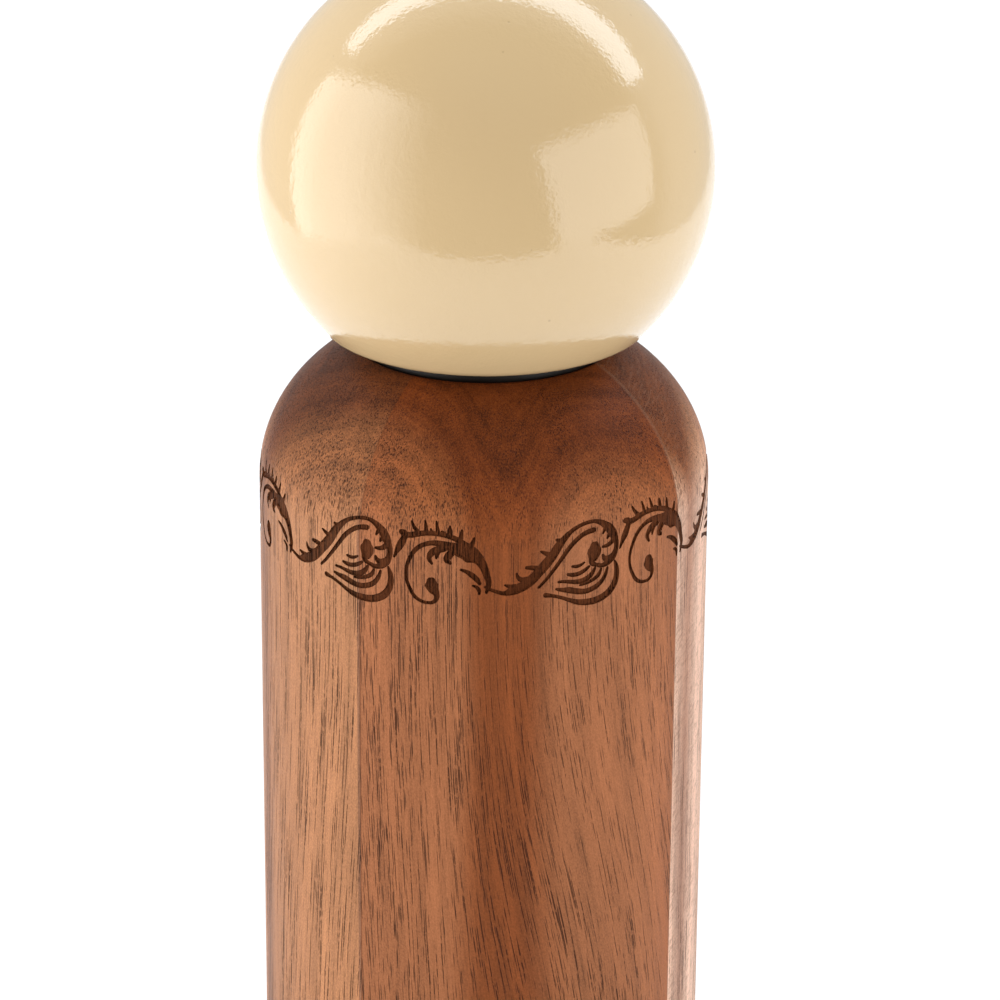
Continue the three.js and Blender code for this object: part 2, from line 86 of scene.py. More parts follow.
def turned(name, profile, sides=128):
    """One vertex drawn along a profile of (radius, height) in millimetres, then spun round the axis."""
    clear()
    bpy.ops.mesh.primitive_plane_add(size=MM)
    piece = bpy.context.object
    piece.name = piece.data.name = name
    edit(piece)
    bpy.ops.mesh.merge(type="CENTER")
    (r, z), *rest = profile
    bpy.ops.transform.translate(value=(r * MM, 0, z * MM))
    for next_r, next_z in rest:
        step = ((next_r - r) * MM, 0, (next_z - z) * MM)
        bpy.ops.mesh.extrude_region_move(TRANSFORM_OT_translate={"value": step})
        r, z = next_r, next_z
    bpy.ops.mesh.select_all(action="SELECT")
    bpy.ops.mesh.spin(steps=sides, angle=2 * math.pi, center=(0, 0, 0), axis=(0, 0, 1))
    return closed(piece, 0.002)


def solid_of(curve, name):
    """A curve with a bevel as a closed mesh."""
    drawn = bpy.data.objects.new(name, curve)
    bpy.context.scene.collection.objects.link(drawn)
    take(drawn)
    bpy.ops.object.convert(target="MESH")
    return closed(bpy.context.object, 0.001)


def arc(r, z, a, b, start, end, steps):
    """Points of an elliptical arc in a profile, angles in degrees from the outward direction."""
    angles = [math.radians(start + (end - start) * i / steps) for i in range(steps + 1)]
    return [(r + a * math.cos(t), z + b * math.sin(t)) for t in angles]


def apply_modifier(piece, kind, **settings):
    take(piece)
    modifier = piece.modifiers.new(kind.title(), kind)
    for key, value in settings.items():
        setattr(modifier, key, value)
    bpy.ops.object.modifier_apply(modifier=modifier.name)


def carve(piece, *tools, operation="DIFFERENCE"):
    """Cuts the tools out of the piece, or joins them to it, and removes them."""
    for tool in tools:
        apply_modifier(piece, "BOOLEAN", object=tool, operation=operation, solver="MANIFOLD")
        bpy.data.objects.remove(tool)


def smooth(piece, angle=35):
    take(piece)
    bpy.ops.object.shade_smooth_by_angle(angle=math.radians(angle))


# ---------------- finishes
def tone(red, green, blue):
    """A colour given as it is seen, from 0 to 255, for a shader's socket."""
    seen = [value / 255 for value in (red, green, blue)]
    linear = [v / 12.92 if v <= 0.04045 else ((v + 0.055) / 1.055) ** 2.4 for v in seen]
    return (*linear, 1.0)


def compass(degrees):
    """The level direction at that angle from the front, turning to the right."""
    return (math.sin(math.radians(degrees)), -math.cos(math.radians(degrees)), 0)


class Nodes:
    """Adds nodes to a tree. Most methods take numbers or outputs, and give the new node's output."""

    def __init__(self, tree):
        self.tree = tree

    def node(self, kind, values=(), **settings):
        made = self.tree.nodes.new(kind)
        for key, value in settings.items():
            setattr(made, key, value)
        for key, value in dict(values).items():
            self.put(made.inputs[key], value)
        return made

    def put(self, socket, value):
        if isinstance(value, bpy.types.NodeSocket):
            self.tree.links.new(value, socket)
        else:
            socket.default_value = value

    def math(self, operation, *values, clamp=False):
        made = self.node("ShaderNodeMath", enumerate(values), operation=operation, use_clamp=clamp)
        return made.outputs[0]

    def plus(self, first, second):
        return self.math("ADD", first, second)

    def minus(self, first, second, clamp=False):
        return self.math("SUBTRACT", first, second, clamp=clamp)

    def times(self, first, *others):
        for other in others:
            first = self.math("MULTIPLY", first, other)
        return first

    def scaled(self, value, factor, offset):
        return self.math("MULTIPLY_ADD", value, factor, offset)

    def vector(self, operation, *values):
        made = self.node("ShaderNodeVectorMath", enumerate(values), operation=operation)
        return made.outputs["Value" if operation in ("DOT_PRODUCT", "LENGTH") else "Vector"]

    def split(self, vector):
        return self.node("ShaderNodeSeparateXYZ", {0: vector}).outputs

    def joined(self, *parts):
        return self.node("ShaderNodeCombineXYZ", enumerate(parts)).outputs[0]

    def rise(self, value, low, high, bottom=0.0, top=1.0):
        """A smooth step of value from low to high."""
        values = {0: value, 1: low, 2: high, 3: bottom, 4: top}
        return self.node("ShaderNodeMapRange", values, interpolation_type="SMOOTHSTEP").outputs[0]

    def between(self, share, first, second):
        """A number between two others."""
        return self.node("ShaderNodeMix", {0: share, 2: first, 3: second}).outputs[0]

    def mix(self, share, first, second, blend="MIX"):
        """A colour between two others."""
        values = {0: share, 6: first, 7: second}
        return self.node("ShaderNodeMix", values, data_type="RGBA", blend_type=blend).outputs[2]


class Finish(Nodes):
    """A material being built. Its place output gives the point on the piece in millimetres."""

    def __init__(self, name, **settings):
        self.material = bpy.data.materials.new(name)
        self.material.use_nodes = True
        super().__init__(self.material.node_tree)
        self.shader = self.tree.nodes["Principled BSDF"]
        for key, value in settings.items():
            self.shader.inputs[key.replace("_", " ")].default_value = value
        where = self.node("ShaderNodeTexCoord").outputs["Object"]
        self.place = self.stretched(where, 1 / MM)

    def stretched(self, place, stretch):
        """The place times a number, or times one for each axis."""
        return self.vector("MULTIPLY", place, stretch if isinstance(stretch, tuple) else (stretch,) * 3)

    def noise(self, place, stretch, detail=2.0, roughness=0.5):
        """Noise about 0.5 whose features are 1 / stretch millimetres long."""
        values = {"Vector": self.stretched(place, stretch), "Scale": 1.0, "Detail": detail, "Roughness": roughness}
        return self.node("ShaderNodeTexNoise", values).outputs[0]

    def cells(self, place, stretch):
        """How far the place is from the middle of the nearest of many scattered cells."""
        values = {"Vector": self.stretched(place, stretch), "Scale": 1.0}
        return self.node("ShaderNodeTexVoronoi", values).outputs["Distance"]

    def towards(self, degrees):
        """How far the place is from the axis in that direction."""
        return self.vector("DOT_PRODUCT", self.place, compass(degrees))

    def colour(self, socket):
        self.put(self.shader.inputs["Base Color"], socket)

    def rough(self, socket):
        self.put(self.shader.inputs["Roughness"], socket)

    def relief(self, height):
        """Height in millimetres, as bump."""
        values = {"Height": height, "Strength": 1.0, "Distance": MM}
        bump = self.node("ShaderNodeBump", values).outputs[0]
        self.put(self.shader.inputs["Normal"], bump)
        return bump


# Round the body: where each paler lobe of the growth rings faces, and how far from the axis it starts.
GROWTH_LOBES = ((-36, 23.4), (34, 27.2), (104, 24.5), (172, 23.6), (-112, 25.0))
HEART_STREAK = 5  # the dark heart reaches the surface in a narrow strip here
STREAK_Z = (85.0, 140.0)  # over these heights the strip widens
GLUE_LINE = -32.2  # one joint between the four sticks; the other is square to it
DOME_Z = (149.0, 160.0)  # over these heights the side gives way to the shoulder's end grain
MOTTLE_Z = (148.0, 160.0)  # and over these its mottling grows
STICK_SHIFT = (41.7, -23.9, 67.3)  # sets each stick's grain apart from its neighbours'


def wood(name, burnt=0.0):
    """Oiled open-pored wood, four sticks glued round the axis; burnt is how charred its surface is."""
    f = Finish(name, Specular_IOR_Level=0.04 if burnt else 0.12)
    p = f.place
    x, y, z = f.split(p)
    across, along = f.towards(GLUE_LINE + 90), f.towards(GLUE_LINE)
    right, front = f.math("GREATER_THAN", across, 0.0), f.math("GREATER_THAN", along, 0.0)
    left, main, far = f.minus(front, right, True), f.times(front, right), f.minus(right, front, True)
    turn = f.math("ARCTAN2", x, f.times(y, -1.0))

    # The grain leans: to the right going down the main stick, a little to the left on the next one.
    lean = f.minus(f.times(main, f.rise(turn, -0.25, 0.3, 0.25)), f.times(left, 0.35))
    sway = f.times(f.math("SINE", f.scaled(z, 0.035, -3.6)), 6.4, lean)
    tangent = f.joined(f.math("COSINE", turn), f.math("SINE", turn), 0.0)
    shifted = f.vector("ADD", p, f.vector("MULTIPLY", tangent, f.joined(sway, sway, 0.0)))
    stick = f.plus(f.times(right, 2.0), front)
    grain = f.vector("ADD", shifted, f.vector("MULTIPLY", f.joined(stick, stick, stick), STICK_SHIFT))

    # Growth rings: how far a point lies outside the dark heart, which has a flat side for each lobe.
    growth, *lobes = [f.minus(f.towards(angle), start) for angle, start in GROWTH_LOBES]
    for lobe in lobes:
        growth = f.math("SMOOTH_MAX", growth, lobe, 1.2)
    off_streak = f.times(f.math("ABSOLUTE", f.towards(HEART_STREAK + 90)), f.rise(z, *STREAK_Z, 0.5))
    streak = f.times(f.rise(off_streak, 8.5, 1.0), main)
    growth = f.minus(growth, f.times(streak, f.rise(z, *STREAK_Z, 2.3, 3.6)))
    wander = f.minus(f.noise(grain, (0.09, 0.09, 0.014), 3.0), 0.5)
    growth = f.plus(growth, f.times(wander, 3.0))
    dome = f.rise(z, *DOME_Z)
    pale = f.times(f.rise(growth, -1.6, 3.4), f.scaled(dome, -0.25, 1.0))
    rings = f.noise(f.joined(growth, 0.0, f.times(z, 0.004)), (0.75, 1.0, 1.0), 4.0, 0.65)

    # Colour: heart to sapwood for each stick, then rings, streaks and fibres; end grain drinks more oil. Painted
    # shade darkens the far left and the shoulder under the ball, and a painted rim reflection pales the far stick.
    heart = f.mix(main, tone(124, 72, 42), tone(129, 69, 34))
    honey = f.times(left, f.scaled(dome, -0.7, 1.0))
    sap = f.mix(honey, tone(160, 108, 76), tone(177, 122, 84))
    sap = f.mix(main, sap, tone(152, 95, 61))
    # The far stick is paler near its glue line: its own paler wood, and a painted rim reflection.
    pale_wood_and_rim_reflection = f.times(far, f.rise(turn, 1.7, 1.0), f.scaled(dome, -0.3, 1.0))
    sap = f.mix(pale_wood_and_rim_reflection, sap, tone(238, 200, 176))
    base = f.mix(pale, heart, sap)
    streaks = f.noise(grain, (0.42, 0.42, 0.011), 4.0, 0.6)
    fibres = f.noise(grain, (3.4, 3.4, 0.07), 3.0, 0.7)
    specks = f.noise(grain, (5.0, 5.0, 3.0), 2.0, 0.7)
    light = f.scaled(rings, f.rise(z, *MOTTLE_Z, 0.7, 1.15), f.rise(z, *MOTTLE_Z, -0.35, -0.58))
    light = f.scaled(streaks, 0.9, f.plus(light, -0.08))
    light = f.scaled(fibres, 0.62, light)
    mottle = f.times(f.minus(specks, 0.5), f.rise(z, *MOTTLE_Z, 1.0, 2.6))
    light = f.plus(light, f.plus(mottle, 0.33))
    # Lighter beside the left glue line; painted shade darkens the far left side, against the left lamp's light
    # there; a little lighter towards the right.
    near_joint = f.times(f.rise(turn, -0.62, -0.5), f.rise(turn, -0.1, -0.5))
    left_lift_and_painted_shade = f.scaled(near_joint, 0.2, f.rise(turn, -1.15, -0.75, 0.84, 1.06))
    low_side = f.minus(1.0, f.times(main, f.rise(z, 115.0, 75.0, 0.0, 0.07)))
    # Painted shade under the ball, together with the end grain's own darker tone, darkens the top of the shoulder.
    end_grain_and_painted_shade = f.rise(z, 151.0, 165.0, 1.0, 0.6)
    light = f.times(light, left_lift_and_painted_shade, f.rise(turn, 0.62, 0.95, 1.0, 1.09), low_side, end_grain_and_painted_shade)
    base = f.mix(1.0, base, f.joined(light, light, light), "MULTIPLY")
    base = f.mix(dome, base, tone(255, 238, 208), "MULTIPLY")

    # Open pores: long thin lines, and shorter ones that crowd beside the glue line.
    cluster = f.noise(grain, (0.22, 0.22, 0.02), 3.0, 0.6)
    crowd = f.times(f.rise(turn, -0.52, -0.1, 1.0, 0.3), main)
    reach = f.scaled(cluster, f.scaled(left, -0.28, 0.66), f.scaled(left, 0.2, -0.03))
    long = f.rise(f.minus(f.cells(grain, (4.3, 4.3, 0.055)), reach), 0.03, -0.1)
    breaks = f.rise(f.noise(grain, (2.0, 2.0, 0.9), 2.0, 0.6), 0.36, 0.5, 0.25)
    long = f.times(long, breaks)
    reach = f.scaled(crowd, 0.16, f.scaled(cluster, 0.42, -0.09))
    reach = f.scaled(dome, -0.07, reach)
    short = f.rise(f.minus(f.cells(grain, (4.4, 4.4, 0.17)), reach), 0.06, -0.1)
    pores = f.math("MAXIMUM", short, f.times(long, 0.95))
    base = f.mix(f.times(pores, 0.88), base, tone(46, 20, 10))

    # The paler stick shows short slanting rays.
    slant = f.joined(f.scaled(z, 0.72, x), f.scaled(z, -0.9, x), y)
    rays = f.rise(f.noise(slant, (0.55, 1.7, 0.5), 2.0, 0.6), 0.52, 0.66)
    base = f.mix(f.times(rays, far, 0.35), base, tone(128, 88, 66))

    # Glue lines: a duller strip with a dark edge beside one, and a painted highlight as a pale edge along the
    # other.
    seam = f.times(front, f.scaled(dome, -0.8, 1.0))
    strip = f.times(f.rise(across, -0.5, -0.4), f.rise(across, 0.05, -0.05))
    base = f.mix(f.times(strip, seam), base, tone(206, 206, 218), "MULTIPLY")
    edge = f.rise(f.math("ABSOLUTE", across), 0.17, 0.04)
    base = f.mix(f.times(edge, seam), base, tone(212, 202, 196), "MULTIPLY")
    # The pale edge along the other glue line is a painted highlight.
    edge = f.times(f.rise(f.math("ABSOLUTE", along), 0.5, 0.15), 0.05)
    base = f.mix(edge, base, tone(232, 200, 168))
    if burnt:
        char = f.minus(f.scaled(fibres, 2.2, f.times(specks, 0.9)), pores)
        char = f.mix(f.rise(char, 0.9, 2.0), tone(23, 8, 2), tone(92, 47, 23))
        base = f.mix(burnt, base, char)
    f.colour(base)

    f.rough(f.scaled(pores, 0.2, f.scaled(fibres, 0.2, 0.36 + 0.2 * burnt)))
    height = f.scaled(fibres, 0.012 + 0.03 * burnt, f.times(pores, -0.04))
    f.relief(f.scaled(specks, 0.03, height))
    return f.material


def lacquer():
    """Gloss cream lacquer, sprayed over turned wood whose grain just shows through."""
    coat = {"Coat_Weight": 1.0, "Coat_Roughness": 0.08, "Coat_IOR": 1.74}
    f = Finish("cream_lacquer", Roughness=0.4, Specular_IOR_Level=0.0, **coat)
    p = f.place
    base = f.mix(f.noise(p, 0.03), tone(211, 181, 134), tone(218, 190, 145))
    speck = f.rise(f.cells(p, 0.2), 0.048, 0.024)
    f.colour(f.mix(f.times(speck, 0.3), base, tone(160, 128, 90)))
    peel = f.times(f.noise(p, 0.85), 0.032)
    ripple = f.times(f.noise(p, 2.2, 1.0), 0.02)
    grain = f.times(f.noise(p, (0.75, 0.75, 0.045), 3.0), 0.02)
    height = f.plus(f.plus(peel, f.plus(ripple, grain)), f.times(speck, -0.02))
    f.put(f.shader.inputs["Coat Normal"], f.relief(height))
    return f.material


# ---------------- wooden body
BODY_R, _, BODY_TOP = (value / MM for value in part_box("body_shell")[1])
SHOULDER_RISE = 22.5
SHOULDER_REACH = 26.4
TOP_FLAT_R = 17.9
FOOT_ROUND = 1.2
COLLAR_SEAT_R = 17.5
COLLAR_SEAT_Z = 168.8
THROAT_R = 12.0
THROAT_Z = 158.7
CHAMBER_R = 15.5
BORE_TOP = 36.8
BORE_R = 17.8
RECESS_Z = 2.5
RECESS_R = 25.3

shoulder_inner = BODY_R - SHOULDER_REACH
shoulder_cut = SHOULDER_RISE * math.sqrt(1 - ((TOP_FLAT_R - shoulder_inner) / SHOULDER_REACH) ** 2)
shoulder_start = BODY_TOP - shoulder_cut


def body_radius(z):
    """The body's outside radius at a height, in millimetres."""
    share = min(1, max(0, (z - shoulder_start) / SHOULDER_RISE))
    return shoulder_inner + SHOULDER_REACH * math.sqrt(1 - share * share)


def turned_body():
    lip, ease, foot_ease = 0.3, 0.1, 0.3
    top_angle = math.degrees(math.asin(shoulder_cut / SHOULDER_RISE))
    outside = arc(BODY_R - FOOT_ROUND, FOOT_ROUND, FOOT_ROUND, FOOT_ROUND, -90, 0, 6)
    outside += [(BODY_R, z) for z in (50, 100, 140)]  # rings that keep the wall's faces short
    outside += arc(shoulder_inner, shoulder_start, SHOULDER_REACH, SHOULDER_RISE, 0, top_angle, 48)
    outside[-1:] = arc(TOP_FLAT_R - 0.07, BODY_TOP - lip, lip, lip, 64, 90, 3)
    inside = [
        (COLLAR_SEAT_R + ease, BODY_TOP), (COLLAR_SEAT_R, BODY_TOP - ease), (COLLAR_SEAT_R, COLLAR_SEAT_Z),
        (THROAT_R, COLLAR_SEAT_Z), (THROAT_R, THROAT_Z), (CHAMBER_R, THROAT_Z - (CHAMBER_R - THROAT_R)),
        (CHAMBER_R, BORE_TOP), (BORE_R, BORE_TOP), (BORE_R, RECESS_Z),
        (RECESS_R, RECESS_Z), (RECESS_R, foot_ease), (RECESS_R + foot_ease, 0),
    ]
    profile = outside + inside
    return turned("wooden_body", profile + profile[:1], 256)


# The border, one repeat of six: each stroke is (distance round the body, height, width) in millimetres.
BORDER_STARTS = (-119, -60, -1.9, 56.5, 118, 179.5, 241)  # degrees from the front, the last closing the ring
BORDER_PITCH = 58.5  # degrees that one repeat spans as drawn
STROKES = (
    # the long stem, from the trough up and over the bud
    ((1.3, 145.75, 0.45), (1.9, 145.4, 0.5), (2.8, 145.05, 0.55), (3.8, 144.8, 0.65), (4.8, 145.1, 1.35),
     (6.1, 145.6, 1.5), (7.3, 146.4, 1.5), (8.4, 147.5, 1.45), (9.4, 148.6, 1.5), (10.3, 149.7, 1.45),
     (11.1, 150.9, 1.3), (12.0, 151.9, 0.95), (13.0, 152.75, 0.65), (14.2, 153.3, 0.55), (15.4, 153.58, 0.55),
     (16.4, 153.6, 0.55), (17.3, 153.35, 0.75), (18.1, 152.85, 1.05), (18.8, 152.2, 1.4), (19.3, 151.4, 1.4),
     (19.65, 150.6, 1.05), (19.85, 149.8, 0.8), (19.75, 149.0, 0.85), (19.3, 148.15, 1.15),
     (18.6, 147.55, 1.05), (17.7, 147.2, 0.7), (16.9, 147.35, 0.55), (16.3, 147.75, 0.5)),
    # teeth on its outer side
    ((3.9, 145.95, 0.3), (4.5, 145.75, 0.65), (5.3, 145.6, 1.0)),
    ((5.45, 147.55, 0.3), (5.65, 147.0, 0.6), (6.2, 146.6, 0.8), (6.9, 146.6, 1.0)),
    ((6.8, 148.3, 0.55), (7.5, 148.25, 0.7), (8.5, 148.0, 0.9)),
    ((8.75, 150.45, 0.35), (9.2, 150.2, 0.6), (9.9, 149.9, 0.8)),
    ((10.9, 151.85, 0.45), (11.3, 151.7, 0.7), (11.7, 151.5, 0.9)),
    # hooks inside the arch
    ((17.75, 151.75, 0.35), (18.0, 152.2, 0.6), (18.35, 152.8, 0.8)),
    ((18.4, 150.95, 0.4), (18.65, 151.4, 0.6), (19.0, 152.0, 0.8)),
    ((17.7, 149.85, 0.45), (18.4, 149.92, 0.65), (19.1, 150.3, 0.8), (19.5, 150.9, 0.9)),
    ((17.7, 148.65, 0.4), (17.95, 148.2, 0.8), (18.6, 147.95, 1.1), (19.2, 148.2, 1.0)),
    # the line beside the stem
    ((8.45, 145.35, 0.4), (9.2, 146.1, 0.48), (10.1, 147.15, 0.55), (11.0, 148.3, 0.6), (11.9, 149.5, 0.66),
     (12.9, 150.75, 0.72), (13.9, 151.6, 0.7), (15.0, 152.2, 0.72), (16.3, 152.45, 0.78)),
    # the bud and its tail
    ((16.4, 150.15, 1.5), (16.4, 149.8, 2.1), (16.35, 149.2, 2.2), (16.2, 148.5, 1.6), (16.05, 147.9, 0.9),
     (16.5, 147.5, 0.6), (17.2, 147.4, 0.5)),
    # finger leaves
    ((13.15, 147.8, 0.4), (13.7, 147.72, 0.55), (14.3, 147.8, 0.5), (14.9, 148.1, 0.3)),
    ((12.5, 146.75, 0.45), (13.1, 146.6, 0.65), (14.0, 146.62, 0.68), (14.9, 146.95, 0.62), (15.6, 147.4, 0.45)),
    ((11.2, 145.85, 0.4), (12.1, 145.8, 0.5), (13.1, 145.6, 0.65), (14.2, 145.5, 0.78), (15.2, 145.7, 0.85),
     (16.0, 146.25, 0.75), (16.5, 147.0, 0.45)),
    ((14.3, 144.95, 0.35), (15.3, 145.1, 0.5), (16.3, 145.45, 0.6), (17.1, 146.0, 0.65), (17.45, 146.7, 0.4)),
    ((10.9, 144.85, 0.4), (11.7, 144.65, 0.65), (12.7, 144.48, 0.95), (13.8, 144.15, 0.92), (15.0, 143.95, 0.82),
     (16.2, 144.15, 0.82), (17.3, 144.7, 0.75), (18.1, 145.7, 0.65), (18.45, 146.7, 0.4)),
    # the crescent under them
    ((9.4, 144.15, 0.75), (10.2, 144.0, 0.55), (11.2, 143.7, 0.52), (12.2, 143.3, 0.56), (13.2, 142.85, 0.68),
     (14.3, 142.5, 0.88), (15.5, 142.35, 1.02), (16.8, 142.4, 1.08), (18.0, 142.75, 1.1), (19.0, 143.4, 1.12),
     (19.65, 144.3, 1.05), (19.95, 145.4, 0.95), (19.9, 146.5, 0.8), (19.6, 147.45, 0.35)),
    # the second scroll, from its teardrop round to the crest
    ((25.7, 146.1, 1.5), (25.75, 145.7, 2.05), (26.0, 145.05, 1.6), (26.4, 144.35, 0.9), (26.35, 143.7, 0.68),
     (25.95, 143.25, 0.55), (25.2, 143.1, 0.48), (24.3, 143.25, 0.52), (23.4, 143.8, 0.58), (22.75, 144.8, 0.58),
     (22.3, 145.9, 0.52), (22.15, 147.1, 0.5), (22.35, 148.3, 0.54), (22.85, 149.5, 0.62), (23.6, 150.6, 0.68),
     (24.6, 151.3, 0.66), (25.8, 151.65, 0.75), (27.0, 151.6, 0.95), (28.2, 151.3, 1.35), (29.4, 150.95, 2.05),
     (30.6, 150.6, 2.55), (31.5, 150.1, 2.1), (32.25, 149.4, 1.45), (32.8, 148.4, 1.15), (33.15, 147.3, 0.95),
     (33.4, 146.4, 0.85), (33.3, 145.6, 0.7), (33.1, 144.95, 0.45)),
    # leaves that hang from it
    ((27.4, 151.0, 1.0), (26.4, 150.7, 1.1), (25.65, 150.15, 0.95), (25.4, 149.4, 0.7), (25.75, 148.75, 0.4)),
    ((26.9, 150.9, 0.8), (26.5, 150.2, 0.7), (26.35, 149.55, 0.35)),
    ((28.5, 150.6, 1.1), (28.0, 149.95, 1.15), (27.8, 149.4, 0.95), (28.25, 149.0, 0.5)),
    ((30.4, 150.3, 1.3), (30.4, 149.75, 1.0), (31.2, 149.5, 0.7)),
    # the crest line with its knob
    ((20.45, 149.05, 0.3), (20.75, 149.75, 0.6), (21.1, 150.45, 1.0), (21.45, 151.1, 1.1), (21.8, 151.8, 0.95),
     (22.1, 152.3, 0.85), (22.9, 152.45, 0.85), (23.8, 152.7, 0.85), (24.8, 152.9, 0.75), (25.8, 152.95, 0.68),
     (27.0, 152.9, 0.7), (28.1, 152.68, 0.72), (29.1, 152.35, 0.8), (30.0, 151.8, 0.95), (30.9, 151.2, 1.1)),
    ((21.45, 152.7, 0.8), (21.9, 152.6, 0.95)),
    # its spikes
    ((23.8, 152.9, 0.75), (23.2, 153.6, 0.52), (22.85, 154.25, 0.35)),
    ((24.95, 153.0, 0.7), (24.85, 153.8, 0.52), (24.72, 154.5, 0.3)),
    ((25.75, 153.0, 0.55), (25.55, 153.5, 0.32)),
    ((26.6, 153.0, 0.75), (26.42, 153.8, 0.52), (26.28, 154.55, 0.3)),
    ((27.5, 152.95, 0.6), (27.1, 153.3, 0.35)),
    ((28.15, 152.7, 0.85), (28.15, 153.4, 0.66), (28.15, 154.0, 0.36)),
    ((29.5, 152.1, 0.9), (29.7, 152.9, 0.6), (29.78, 153.6, 0.34)),
    ((30.95, 151.4, 0.9), (31.25, 152.0, 0.6), (31.45, 152.6, 0.34)),
    # the small forked leaf
    ((29.7, 148.12, 0.4), (30.4, 147.88, 0.6), (31.2, 147.35, 0.85), (31.85, 146.75, 0.8), (32.2, 146.2, 0.5)),
    ((31.3, 145.9, 0.35), (31.75, 145.72, 0.5), (32.1, 145.3, 0.6), (32.15, 144.75, 0.38)),
)
TIP = ((0.28, 0.8), (0.44, 0.4))  # reach past the end and width, as shares of the stroke's width
BURN_DEPTH = 0.3
BORDER_Z = (141, 155.5)  # the band of the body that holds the border
BORDER_R = 20  # nothing of the bore reaches out this far beside it
CHARRED = 0.92


def rounded(stroke):
    """The stroke with its width drawn in to a round tip just past each end."""
    tips = []
    for (u, z, width), (inner_u, inner_z, _) in ((stroke[0], stroke[1]), (stroke[-1], stroke[-2])):
        length = math.hypot(u - inner_u, z - inner_z)
        along_u, along_z = (u - inner_u) / length * width, (z - inner_z) / length * width
        tips.append([(u + along_u * reach, z + along_z * reach, width * share) for reach, share in TIP])
    return tips[0][::-1] + list(stroke) + tips[1]


def stroke_solids():
    """The strokes of one repeat, drawn flat as splines whose radius is half the stroke's width."""
    curve = bpy.data.curves.new("border_strokes", "CURVE")
    curve.dimensions = "2D"
    curve.fill_mode = "NONE"
    curve.bevel_depth = 1.0
    curve.bevel_resolution = 2
    curve.resolution_u = 4
    curve.use_fill_caps = True
    for stroke in map(rounded, STROKES):
        spline = curve.splines.new("BEZIER")
        spline.bezier_points.add(len(stroke) - 1)
        for point, (u, z, width) in zip(spline.bezier_points, stroke):
            point.co = (u * MM, z * MM, 0)
            point.radius = width / 2 * MM
            point.handle_left_type = point.handle_right_type = "AUTO"
    edit(solid_of(curve, "border_strokes"))
    bpy.ops.mesh.separate(type="LOOSE")
    bpy.ops.object.mode_set(mode="OBJECT")
    return list(bpy.context.selected_objects)


def border_cutter():
    """One repeat as a solid: each stroke gets a level floor under the surface and stands clear above it."""
    upper, waist, clear_of_wood = 0.03, 0.04, 0.5
    solids = stroke_solids()
    for solid in solids:
        for vertex in solid.data.vertices:
            level = vertex.co.z / MM
            vertex.co.z = (clear_of_wood if level > upper else -BURN_DEPTH if level < -upper else waist) * MM
    whole = solids[0]
    carve(whole, *solids[1:], operation="UNION")
    whole.name = "border_cutter"
    return whole


def wrap_border(cutter, start, end):
    """A copy of the flat repeat, laid round the body from one angle to the other."""
    take(cutter)
    bpy.ops.object.duplicate()
    copy = bpy.context.object
    stretch = (end - start) / BORDER_PITCH
    for vertex in copy.data.vertices:
        u, z, out = (value / MM for value in vertex.co)
        angle = math.radians(start) + u * stretch / BODY_R
        r = (body_radius(z) + out) * MM
        vertex.co = (r * math.sin(angle), -r * math.cos(angle), z * MM)
    return closed(copy)


def wooden_body():
    body = turned_body()
    cutter = border_cutter()
    for start, end in zip(BORDER_STARTS, BORDER_STARTS[1:]):
        carve(body, wrap_border(cutter, start, end))
    bpy.data.objects.remove(cutter)
    body.data.materials.clear()
    body.data.materials.append(FINISHES["oiled_wood"])
    body.data.materials.append(wood("burnt_wood", CHARRED))
    for face in body.data.polygons:
        r = math.hypot(face.center.x, face.center.y) / MM
        z = face.center.z / MM
        in_border = BORDER_Z[0] < z < BORDER_Z[1] and r > BORDER_R
        face.material_index = int(in_border and r < body_radius(z) - BURN_DEPTH / 10)
    smooth(body, 30)
    return body


# ---------------- ball head
def ball_head():
    low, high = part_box("head_ball")
    flat_z, top_z, ball_r = low.z / MM, high.z / MM, high.x / MM
    centre = top_z - ball_r
    edge, flat_r = 4.0, 19.67
    plug_r, plug_top, flange_r, flange_z = 9.3, 194.3, 15.8, 174.0
    touch = math.degrees(math.atan2(flat_z + edge - centre, flat_r))
    profile = [(0, plug_top), (plug_r, plug_top), (plug_r, flange_z), (flange_r, flange_z), (flange_r, flat_z)]
    profile += arc(flat_r, flat_z + edge, edge, edge, -90, touch, 14)
    profile += arc(0, centre, ball_r, ball_r, touch, 90, 90)[1:]
    profile[-1] = (0, top_z)
    return turned("lacquered_ball", profile, 256)


# ---------------- finishes of the mechanism
def plastic(name, deep, pale):
    """Moulded plastic: a faint cloud of colour under a fine matt texture."""
    f = Finish(name, Specular_IOR_Level=0.28)
    f.colour(f.mix(f.noise(f.place, 0.35, 3.0), deep, pale))
    f.rough(f.rise(f.noise(f.place, 1.3), 0.3, 0.7, 0.34, 0.48))
    f.relief(f.times(f.noise(f.place, 7.0), 0.004))
    return f.material


def metal(name, deep, pale, stretch, roughness, scratch=0.003):
    """Bare metal: tool marks that are long where stretch is small, with a duller tone in them."""
    f = Finish(name, Metallic=1.0)
    marks = f.noise(f.place, stretch, 4.0, 0.7)
    handled = f.noise(f.place, 0.12)
    f.colour(f.mix(f.scaled(handled, 0.5, f.times(marks, 0.7)), deep, pale))
    f.rough(f.scaled(marks, 0.16, roughness))
    f.relief(f.times(marks, scratch))
    return f.material


def fired_ceramic():
    """Matt alumina with a fine tooth to it, in faint clouds of a darker and a paler tone."""
    f = Finish("ceramic", Specular_IOR_Level=0.4)
    cloud = f.noise(f.place, 0.5, 4.0, 0.6)
    f.colour(f.mix(cloud, tone(206, 200, 186), tone(236, 232, 222)))
    f.rough(f.rise(cloud, 0.3, 0.7, 0.55, 0.42))
    f.relief(f.times(f.noise(f.place, 5.0, 3.0), 0.008))
    return f.material


